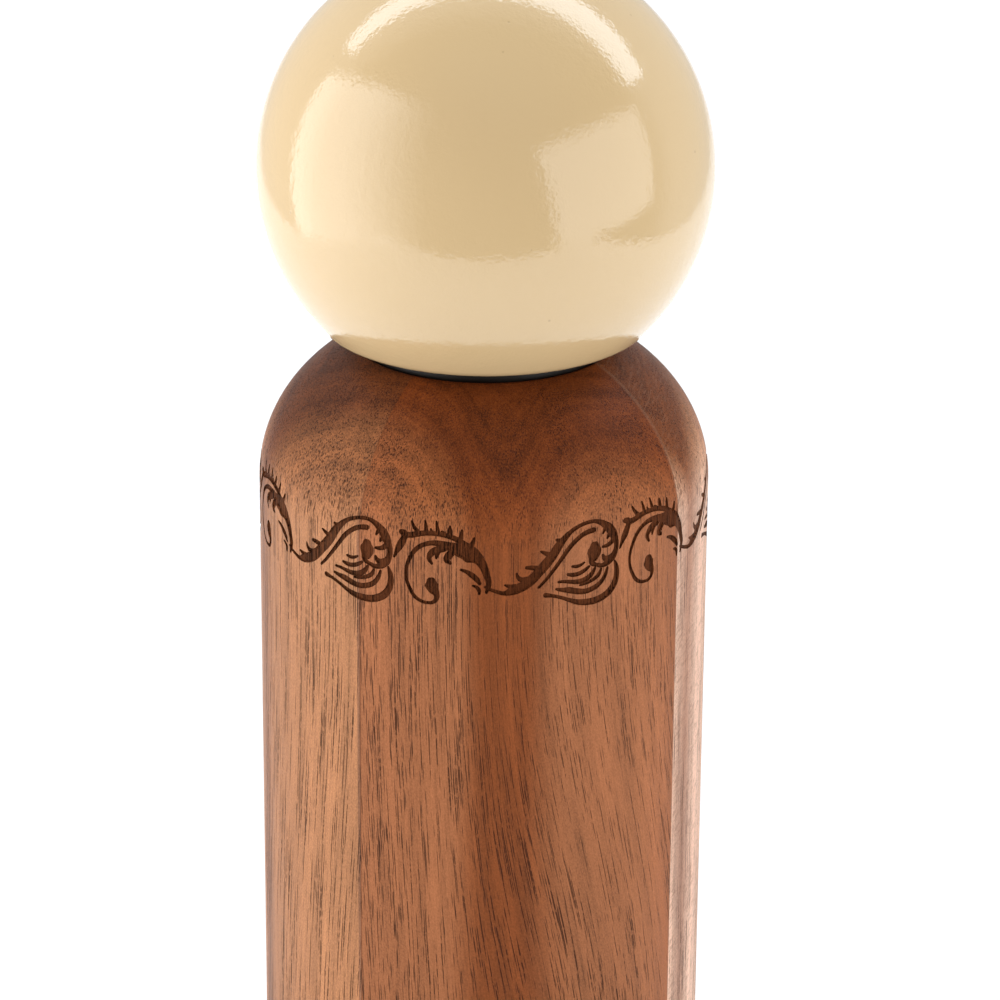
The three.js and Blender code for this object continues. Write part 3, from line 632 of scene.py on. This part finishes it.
def o_ring_rubber():
    f = Finish("rubber", Specular_IOR_Level=0.35)
    bloom = f.noise(f.place, 0.8, 3.0)
    f.colour(f.mix(bloom, tone(22, 22, 22), tone(40, 39, 38)))
    f.rough(f.rise(bloom, 0.3, 0.7, 0.62, 0.8))
    f.relief(f.times(f.noise(f.place, 4.0), 0.006))
    return f.material


FINISHES = {
    "black_plastic": plastic("black_plastic", tone(20, 15, 12), tone(31, 25, 21)),
    "white_plastic": plastic("white_plastic", tone(214, 210, 200), tone(232, 229, 222)),
    "ceramic": fired_ceramic(),
    "brushed_steel": metal("brushed_steel", tone(176, 176, 178), tone(222, 222, 222), (0.12, 7.0, 1.0), 0.24),
    "spring_steel": metal("spring_steel", tone(150, 152, 156), tone(196, 198, 202), 1.5, 0.22),
    "screw_steel": metal("screw_steel", tone(184, 184, 184), tone(218, 217, 212), 3.0, 0.16, 0.001),
    "brass": metal("brass", tone(190, 150, 76), tone(224, 186, 110), (0.5, 0.5, 8.0), 0.2),
    "rubber": o_ring_rubber(),
    "oiled_wood": wood("oiled_wood"),
    "cream_lacquer": lacquer(),
}


# ---------------- modelling the mechanism
def span(node):
    """A node's lowest and highest height, in millimetres."""
    low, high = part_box(node)
    return low.z / MM, high.z / MM


def softened(corners, reach):
    """A closed profile with each corner rounded in three steps; corners on the axis stay."""
    points = []
    for before, corner, after in zip(corners[-1:] + corners[:-1], corners, corners[1:] + corners[:1]):
        here, back, ahead = Vector(corner), Vector(before), Vector(after)
        if corner[0] == 0:
            points.append(corner)
            continue
        start = here + (back - here) * min(0.45, reach / (back - here).length)
        end = here + (ahead - here) * min(0.45, reach / (ahead - here).length)
        for t in (0, 1 / 3, 2 / 3, 1):
            points.append(tuple(start * (1 - t) ** 2 + here * 2 * t * (1 - t) + end * t * t))
    return points


def turned_ring(name, corners, reach, sides):
    points = softened(corners, reach)
    return turned(name, points + points[:1], sides)


def turned_solid(name, corners, reach=0.0, sides=48):
    """A solid whose profile starts and ends on the axis."""
    return turned(name, softened(corners, reach) if reach else corners, sides)


def turned_plug(name, r, bottom, top, reach=0.0, sides=48):
    """A plain cylinder, or a prism where it has few sides."""
    return turned_solid(name, [(0, bottom), (r, bottom), (r, top), (0, top)], reach, sides)


def block(name, low, high):
    """A box between two corners, in millimetres."""
    clear()
    low, high = Vector(low), Vector(high)
    bpy.ops.mesh.primitive_cube_add(size=MM, location=(low + high) / 2 * MM)
    piece = bpy.context.object
    piece.name = piece.data.name = name
    piece.scale = high - low
    bpy.ops.object.transform_apply(location=True, rotation=False, scale=True)
    return piece


def placed(piece, x=0.0, y=0.0, z=0.0, angle=0.0):
    """The piece turned about the axis by an angle in degrees and then moved, in its mesh."""
    spin = Matrix.Rotation(math.radians(angle), 4, "Z")
    piece.data.transform(Matrix.Translation((x * MM, y * MM, z * MM)) @ spin)
    return piece


def thirds(circle):
    """Three even places on a circle, each as (x, y, angle in degrees)."""
    for angle in (90, 210, 330):
        yield circle * math.cos(math.radians(angle)), circle * math.sin(math.radians(angle)), angle


def reshaped(piece, radius):
    """Moves each point in or out: radius(r, angle, z) in millimetres gives its new distance from the axis."""
    for vertex in piece.data.vertices:
        x, y, z = (value / MM for value in vertex.co)
        r = math.hypot(x, y)
        if r > 0.01:
            share = radius(r, math.atan2(y, x), z) / r
            vertex.co.x *= share
            vertex.co.y *= share
    return piece


def eased(piece, width):
    """Small bevels along the piece's sharp edges, in millimetres."""
    flat, sharp = math.radians(2), math.radians(30)
    edit(piece)
    bpy.ops.mesh.remove_doubles(threshold=0.004 * MM)
    bpy.ops.mesh.dissolve_limited(angle_limit=flat)
    bpy.ops.object.mode_set(mode="OBJECT")
    apply_modifier(piece, "BEVEL", width=width * MM, segments=2, limit_method="ANGLE", angle_limit=sharp)
    return piece


def install(piece, slot, body, node):
    """Gives a finished piece its look, and puts it in its node's place on the body it moves with."""
    piece.data.materials.clear()
    piece.data.materials.append(FINISHES[slot])
    smooth(piece)
    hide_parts(node)
    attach(piece, body)


def refined(node, slot, body):
    """A copy of a node's own shape with its edges eased."""
    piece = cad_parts[node].copy()
    piece.data = piece.data.copy()
    bpy.context.scene.collection.objects.link(piece)
    piece.name = piece.data.name = "fine_" + node
    install(eased(piece, 0.12), slot, body, node)


# ---------------- screws and threads
def thread(crest, root, pitch):
    """A right-hand thread for reshaped(): points at the crest radius or on its taper go down to the root."""
    def radius(r, angle, z):
        wave = abs(2 * ((z / pitch - angle / (2 * math.pi)) % 1) - 1)
        return r * (1 - (1 - root / crest) * min(1, 1.5 * (1 - wave)))
    return radius


def cross_recess(z, size, depth):
    """A tapering cross, open downwards at z, for a driver."""
    width, taper = 0.19 * size, 0.42
    bars = []
    for angle in (0, 90):
        bar = block("recess", (-size, -width, z - depth), (size, width, z + depth))
        for vertex in bar.data.vertices:
            if vertex.co.z > z * MM:
                vertex.co.x *= taper
        bars.append(placed(bar, angle=angle))
    return bars


def countersunk_screw(name, head_r, shank_r, head_height, length, pitch):
    """A screw on the axis, its flat head's face at z = 0 and its tip up."""
    tip = length - 1.6 * shank_r
    plain = head_height + 0.5
    rise = [plain + i * pitch / 8 for i in range(int((length - plain) / pitch * 8))]
    wall = [(shank_r * min(1, (length - z) / (length - tip)), z) for z in rise]
    profile = [(0, 0), (head_r - 0.25, 0), (head_r, 0.12), (head_r, 0.22), (shank_r, head_height + 0.1)]
    screw = turned(name, profile + wall + [(0, length)], 32)
    cut = thread(shank_r, 0.68 * shank_r, pitch)
    reshaped(screw, lambda r, angle, z: cut(r, angle, z) if z > plain + 0.1 and r < shank_r + 0.01 else r)
    carve(screw, *cross_recess(0, 0.62 * head_r, 0.3 * head_r + 0.3))
    return screw


def screws(pattern, body, circle, z):
    """Three copies of a screw, set evenly round the axis, each driven home at another turn."""
    for i, (x, y, angle) in enumerate(thirds(circle)):
        node = f"{pattern.name}_{i + 1}"
        take(pattern)
        bpy.ops.object.duplicate()
        screw = bpy.context.object
        screw.name = screw.data.name = "fine_" + node
        install(placed(screw, x, y, z, angle + 25 * i), "screw_steel", body, node)
    bpy.data.objects.remove(pattern)


def countersinks(circle, z, head_r, shank_r, depth):
    """Tools for three countersunk holes that open downwards at z."""
    profile = [(0, -1), (head_r, -1), (head_r, 0.2), (shank_r, depth + 0.2), (shank_r, depth + 4), (0, depth + 4)]
    return [placed(turned("countersink", profile, 48), x, y, z) for x, y, _ in thirds(circle)]


# ---------------- burrs
BURR_CONE_R = 15.82  # the cone over its tooth tips, carried down to the table
BURR_SLOPE = 0.32
BURR_GAP = 0.75
BURR_STEPS = 24
TOOTH_DEPTH = 0.9
TEETH = 18
TWIST = 0.05


def cone_tip(z):
    return BURR_CONE_R - BURR_SLOPE * z


def saw(angle, count):
    share = angle * count / (2 * math.pi) % 1
    return share / 0.75 if share < 0.75 else (1 - share) / 0.25


def lug_distance(angle):
    third = 2 * math.pi / 3
    return abs((angle + third / 2) % third - third / 2)


def breaker_share(z, bottom, height):
    """How far the fine teeth have given way to the coarse ones."""
    return min(1, max(0, ((z - bottom) / height - 0.4) / 0.35))


def inner_burr():
    bottom, top = span("inner_burr")
    pocket_floor, pocket_r, socket_r = bottom + 7.2, 6.0, 4.9
    key_depth, key_half = 1.3, 0.3
    wall = [bottom + (top - bottom) * i / BURR_STEPS for i in range(BURR_STEPS + 1)]
    profile = [(cone_tip(z), z) for z in wall]
    profile += [(pocket_r, top), (pocket_r, pocket_floor), (socket_r, pocket_floor), (socket_r, bottom)]
    burr = turned("ceramic_cone", profile + profile[:1], 12 * TEETH)

    def radius(r, angle, z):
        if abs(r - socket_r) < 0.01:
            return socket_r + (key_depth if lug_distance(angle) < key_half else 0)
        if abs(r - cone_tip(z)) > 0.01 or (z > top - 0.01 and r < pocket_r + 0.2):
            return r
        share = breaker_share(z, bottom, top - bottom)
        swept = angle + TWIST * (z - bottom)
        fine = TOOTH_DEPTH * (saw(swept, TEETH) - 1)
        coarse = 2.2 * TOOTH_DEPTH * (saw(swept, 6) - 1)
        return max(pocket_r + 0.6, cone_tip(z) + fine * (1 - share) + coarse * share)

    return reshaped(burr, radius)


def outer_burr():
    bottom, top = span("outer_burr")
    outside_r, lug_height, lug_half, mouth = 15.0, 1.1, 0.13, 2.6
    wall = [top + (bottom - top) * i / BURR_STEPS for i in range(BURR_STEPS + 1)]
    profile = [(outside_r, bottom), (outside_r, top)] + [(cone_tip(z) + BURR_GAP, z) for z in wall]
    burr = turned("ceramic_ring", profile + profile[:1], 12 * TEETH)

    def radius(r, angle, z):
        if r > outside_r - 0.01:
            return outside_r + (lug_height if lug_distance(angle) < lug_half else 0)
        share = breaker_share(z, bottom, top - bottom)
        swept = angle - TWIST * (z - bottom)
        fine = TOOTH_DEPTH * (1 - saw(swept, TEETH))
        coarse = 1.6 * TOOTH_DEPTH * (1 - saw(swept, 12))
        return cone_tip(z) + BURR_GAP + mouth * share * share + fine * (1 - share) + coarse * share

    return reshaped(burr, radius)


# ---------------- collar, base plate and adjuster
BASE_SCREW_CIRCLE = 21.6


def throat_collar():
    bottom, top = span("collar_bush")
    bore_r, sleeve_r, flange_r = 10.5, 11.7, 17.2
    flange_z = top - 2.1
    corners = [
        (bore_r, bottom), (sleeve_r, bottom), (sleeve_r, flange_z), (flange_r, flange_z),
        (flange_r, top), (bore_r + 0.8, top), (bore_r, top - 0.8),
    ]
    return turned_ring("throat_collar", corners, 0.25, 192)


def grinder_plate():
    bottom, top = span("base_plate")
    hole_r, rim_r = 14.2, 25
    corners = [(hole_r, bottom), (rim_r, bottom), (rim_r, top), (hole_r, top)]
    plate = turned_ring("grinder_plate", corners, 0.35, 192)
    carve(plate, *countersinks(BASE_SCREW_CIRCLE, bottom, head_r=3.2, shank_r=1.7, depth=1.2))
    return plate


def adjuster():
    bottom, top = span("adjuster_knob")
    nut_floor = bottom + 3
    knob_r, nut_r, bore_r = 8.8, 5.2, 3.3
    flutes, flute_depth = 12, 0.85
    knob = turned_plug("fluted_knob", knob_r, bottom, top, 0.9, 240)

    def fluted(r, angle, z):
        dip = max(0, math.cos(flutes * angle) - 0.35) / 0.65
        return r - flute_depth * dip * min(1, max(0, (r - 7.2) / 1.2))

    reshaped(knob, fluted)
    well = turned_plug("well", nut_r, bottom - 1, nut_floor - 1)
    hole = turned_plug("hole", bore_r, bottom, top)
    pocket = turned_plug("pocket", nut_r, nut_floor, top + 1, 0, 6)
    carve(knob, well, hole, placed(pocket, angle=30))
    return knob


def brass_nut():
    bottom, top = span("thread_insert")
    corner_r, face_r, bore_r, root_r, ease = 5, 4.5, 3.3, 3.06, 0.35
    blank = turned_plug("brass_nut", corner_r, bottom, top, 0, 6)
    corners = [
        (0, bottom), (face_r, bottom), (corner_r, bottom + ease), (corner_r, top - ease), (face_r, top), (0, top),
    ]
    chamfer = turned_solid("chamfer", corners, 0, 64)
    steps = [bottom - 1 + i / 8 for i in range(int((top - bottom + 2) * 8))]
    bore = turned_solid("bore", [(0, steps[0])] + [(bore_r, z) for z in steps] + [(0, steps[-1])])
    reshaped(bore, thread(bore_r, root_r, 1.0))
    carve(placed(blank, angle=30), chamfer, operation="INTERSECT")
    carve(blank, bore)
    return blank


# ---------------- shaft and what stays on it
def square_shaft():
    bottom, top = span("drive_shaft")
    journal_r, tip_r, root_r = 3.0, 2.5, 2.55
    thread_top, clip_z, circlip_z, groove_width = 9.5, 2.1, 29.6, 1.2
    groove_r = journal_r - 0.65
    square_z, flats_top, flat_half = 37.7, 28.4, 2.4
    thread_z = [bottom + 0.5 + i / 8 for i in range(int((thread_top - bottom - 0.5) * 8))]
    profile = [(0, bottom), (tip_r, bottom)] + [(journal_r, z) for z in thread_z]
    profile += [(journal_r, circlip_z), (groove_r, circlip_z)]
    profile += [(groove_r, circlip_z + groove_width), (journal_r, circlip_z + groove_width)]
    journal = turned("square_shaft", profile + [(journal_r, square_z + 1), (0, square_z + 1)], 96)
    cut = thread(journal_r, root_r, 1.0)
    reshaped(journal, lambda r, angle, z: cut(r, angle, z) if bottom + 0.6 < z < 9.2 and r > 2.9 else r)
    ring = [(groove_r, clip_z), (5, clip_z), (5, clip_z + groove_width), (groove_r, clip_z + groove_width)]
    end_groove = turned_ring("groove", ring, 0, 96)
    flats = [block("flat", (-5, y, bottom - 1), (5, y + 3, flats_top)) for y in (flat_half, -flat_half - 3)]
    carve(journal, end_groove, *flats)
    square = eased(block("square", (-3, -3, square_z), (3, 3, top)), 0.45)
    lathe = [(0, square_z - 1), (4.8, square_z - 1), (4.8, top - 3), (2.7, top + 0.6), (0, top + 0.6)]
    carve(square, turned_solid("taper", lathe, 0, 96), operation="INTERSECT")
    carve(journal, square, operation="UNION")
    return journal


def round_wire_spring():
    bottom, top = span("burr_spring")
    wire, coil_r, turns, per_turn = 0.45, 4.35, 4, 24
    level = 0.06  # share of the wire that lies flat at each end
    start, end = bottom + wire, top - wire
    curve = bpy.data.curves.new("burr_spring", "CURVE")
    curve.dimensions = "3D"
    curve.bevel_depth = wire * MM
    curve.bevel_resolution = 4
    curve.use_fill_caps = True
    spline = curve.splines.new("POLY")
    spline.points.add(turns * per_turn)
    for i, point in enumerate(spline.points):
        t = i / (turns * per_turn)
        share = min(1, max(0, (t - level) / (1 - 2 * level)))
        z = start + (end - start) * share * share * (3 - 2 * share)
        angle = 2 * math.pi * turns * t
        point.co = (coil_r * math.cos(angle) * MM, coil_r * math.sin(angle) * MM, z * MM, 1)
    return solid_of(curve, "coil_spring")


# ---------------- what is in the ball
INSERT_SCREW_CIRCLE = 13.0


def ball_insert():
    low, high = span("head_insert")
    flat_z, ring_z = low + 8, low + 4
    spigot_r, groove_r, flange_r, plug_r = 10.2, 8.6, 15.5, 9
    flange_top = flat_z + 2.2
    corners = [
        (0, low), (spigot_r - 0.6, low), (spigot_r, low + 0.6), (spigot_r, ring_z - 1),
        (groove_r, ring_z - 1), (groove_r, ring_z + 1), (spigot_r, ring_z + 1), (spigot_r, flat_z),
        (flange_r, flat_z), (flange_r, flange_top), (plug_r, flange_top),
        (plug_r, high - 1), (plug_r - 1, high), (0, high),
    ]
    insert = turned_solid("ball_insert", corners, 0.25, 128)
    lead = turned_solid("lead", [(0, low - 1), (6.0, low - 1), (6.0, low), (0, low + 3)], 0, 96)
    socket = block("socket", (-3.3, -3.3, low - 2), (3.3, 3.3, 190.3))
    pocket = block("pocket", (-4.1, -2.4, 177.8), (4.1, 2.4, 192.8))
    sinks = countersinks(INSERT_SCREW_CIRCLE, flat_z, head_r=2.2, shank_r=1.2, depth=1.0)
    carve(insert, lead, socket, pocket, *sinks)
    return insert


def seal_ring():
    low, high = span("spigot_oring")
    wire = (high - low) / 2
    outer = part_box("spigot_oring")[1].x / MM
    return turned("seal_ring", arc(outer - wire, low + wire, wire, wire, 0, 360, 20), 128)


# ---------------- put together
body = wooden_body()
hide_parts("body_shell")
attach(body, "mill_body")
install(throat_collar(), "black_plastic", "mill_body", "collar_bush")
install(outer_burr(), "ceramic", "mill_body", "outer_burr")
install(grinder_plate(), "brushed_steel", "mill_body", "base_plate")
base_screw = countersunk_screw("base_screw", head_r=3.0, shank_r=1.5, head_height=1.2, length=12, pitch=1.1)
screws(base_screw, "mill_body", BASE_SCREW_CIRCLE, span("base_screw_1")[0])
refined("grinder_housing", "black_plastic", "mill_body")
refined("shaft_bush", "white_plastic", "mill_body")
refined("burr_retainer", "black_plastic", "mill_body")

install(square_shaft(), "brushed_steel", "drive", "drive_shaft")
spring = round_wire_spring()
install(spring, "spring_steel", "drive", "burr_spring")
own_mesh(spring)
refined("shaft_circlip", "spring_steel", "drive")
refined("spring_washer", "brushed_steel", "drive")
refined("end_clip", "spring_steel", "drive")

refined("burr_carrier", "black_plastic", "rotor")
install(inner_burr(), "ceramic", "rotor", "inner_burr")
refined("thrust_washer", "white_plastic", "rotor")
install(adjuster(), "black_plastic", "adjuster", "adjuster_knob")
install(brass_nut(), "brass", "adjuster", "thread_insert")

install(ball_head(), "cream_lacquer", "head", "head_ball")
install(ball_insert(), "black_plastic", "head", "head_insert")
install(seal_ring(), "rubber", "head", "spigot_oring")
refined("shaft_clip", "spring_steel", "head")
insert_screw = countersunk_screw("insert_screw", head_r=2.0, shank_r=1.0, head_height=1.0, length=10, pitch=0.8)
screws(insert_screw, "head", INSERT_SCREW_CIRCLE, span("insert_screw_1")[0])


# ---------------- studio
TABLE_SIDE = 430
TABLE_FRONT = -380
TABLE_BACK = 1600
TABLE_GLOW = 0.42
SHADOW_GLOW = 0.05
SHADOW_REACH = (250, 900)


def floor():
    """A table top that runs back into a white sweep. It glows for reflections, and for the camera, but less
    near the mill, where it keeps the mill's shadow."""
    table = block("floor", (-TABLE_SIDE, TABLE_FRONT, -20), (TABLE_SIDE, TABLE_BACK, 0))
    white = {"Base_Color": (0.88, 0.88, 0.88, 1), "Emission_Color": (1, 1, 1, 1)}
    f = Finish("white_sweep", Roughness=1.0, Specular_IOR_Level=0.0, **white)
    rays = f.node("ShaderNodeLightPath").outputs
    seen = f.rise(f.vector("LENGTH", f.place), *SHADOW_REACH, SHADOW_GLOW, TABLE_GLOW)
    glow = f.between(rays["Is Glossy Ray"], seen, TABLE_GLOW)
    either = f.math("MAXIMUM", rays["Is Camera Ray"], rays["Is Glossy Ray"])
    f.put(f.shader.inputs["Emission Strength"], f.times(either, glow))
    table.data.materials.append(f.material)


def softbox(name, place, aim, size, roll, radiance, fade, colour=(1, 1, 1)):
    """An area lamp of size (width, height) metres that looks at aim, rolled by an angle in degrees.
    It dims towards its left, right, lower and upper edge over these shares of its size."""
    light = bpy.data.lights.new(name, "AREA")
    light.shape = "RECTANGLE"
    light.size, light.size_y = size
    light.color = colour
    light.energy = radiance * math.pi * size[0] * size[1]
    light.use_nodes = True
    f = Nodes(light.node_tree)
    where = f.split(f.node("ShaderNodeNewGeometry").outputs["Parametric"])
    edges = ((0, 0, fade[0]), (0, 1, fade[1]), (1, 0, fade[2]), (1, 1, fade[3]))
    strength = f.times(*[f.rise(where[axis], edge, abs(edge - share)) for axis, edge, share in edges])
    f.put(f.tree.nodes["Emission"].inputs["Strength"], strength)
    lamp = bpy.data.objects.new(name, light)
    bpy.context.scene.collection.objects.link(lamp)
    lamp.location = place
    facing = (Vector(aim) - Vector(place)).to_track_quat("-Z", "Y")
    lamp.rotation_euler = (facing @ Quaternion((0, 0, 1), math.radians(roll))).to_euler()
    lamp.visible_camera = False


def surroundings():
    """Light from all round, stronger in front. Reflections see a dim room in front and a white wall behind."""
    world = bpy.data.worlds.new("studio")
    bpy.context.scene.world = world
    world.use_nodes = True
    f = Nodes(world.node_tree)
    f.tree.nodes.clear()
    rays = f.node("ShaderNodeLightPath").outputs
    y = f.split(f.node("ShaderNodeTexCoord").outputs["Generated"])["Y"]
    strength = f.rise(y, -0.1, 0.35, 0.61, 0.48)
    strength = f.between(rays["Is Glossy Ray"], strength, f.rise(y, -0.05, 0.3, 0.1, 0.72))
    strength = f.between(rays["Is Camera Ray"], strength, 1.0)
    sky = f.node("ShaderNodeBackground", {"Color": (1, 1, 1, 1), "Strength": strength})
    f.node("ShaderNodeOutputWorld", {"Surface": sky.outputs[0]})


def camera():
    data = bpy.data.cameras.new("camera")
    data.lens = 160.4
    data.sensor_width = 36
    eye = bpy.data.objects.new("camera", data)
    bpy.context.scene.collection.objects.link(eye)
    place = (0, -0.5755, 0.3704)
    pitch, yaw, roll = math.radians(21.3), math.radians(0.208), math.radians(0.4)
    ahead = Vector((math.sin(yaw), math.cos(yaw) * math.cos(pitch), -math.sin(pitch))).normalized()
    level = ahead.cross(Vector((0, 0, 1))).normalized()
    above = level.cross(ahead)
    right = level * math.cos(roll) + above * math.sin(roll)
    up = right.cross(ahead)
    facing = Matrix((right, up, -ahead)).transposed().to_4x4()
    eye.matrix_world = Matrix.Translation(place) @ facing
    bpy.context.scene.camera = eye


floor()
surroundings()
softbox(
    "left_softbox", place=(-0.508, -0.111, 0.238), aim=(0.582, 0.601, 0.19), size=(0.968, 0.836),
    roll=4.7, radiance=2.35, fade=(0.05, 0.5, 0.1, 0.12),
)
softbox(
    "right_softbox", place=(0.616, -0.275, 0.23), aim=(0.527, -0.18, 0.19), size=(0.83, 0.63),
    roll=7.3, radiance=1.65, fade=(0.04, 0.06, 0.08, 0.12),
)
softbox(
    "back_strip", place=(-0.199, 0.371, 0.845), aim=(-0.377, 0.261, 0.169), size=(2.1, 0.258),
    roll=49, radiance=3.5, fade=(0.03, 0.03, 0.1, 0.1), colour=(0.84, 0.92, 1.0),
)
camera()
bpy.context.scene.view_settings.view_transform = "Standard"
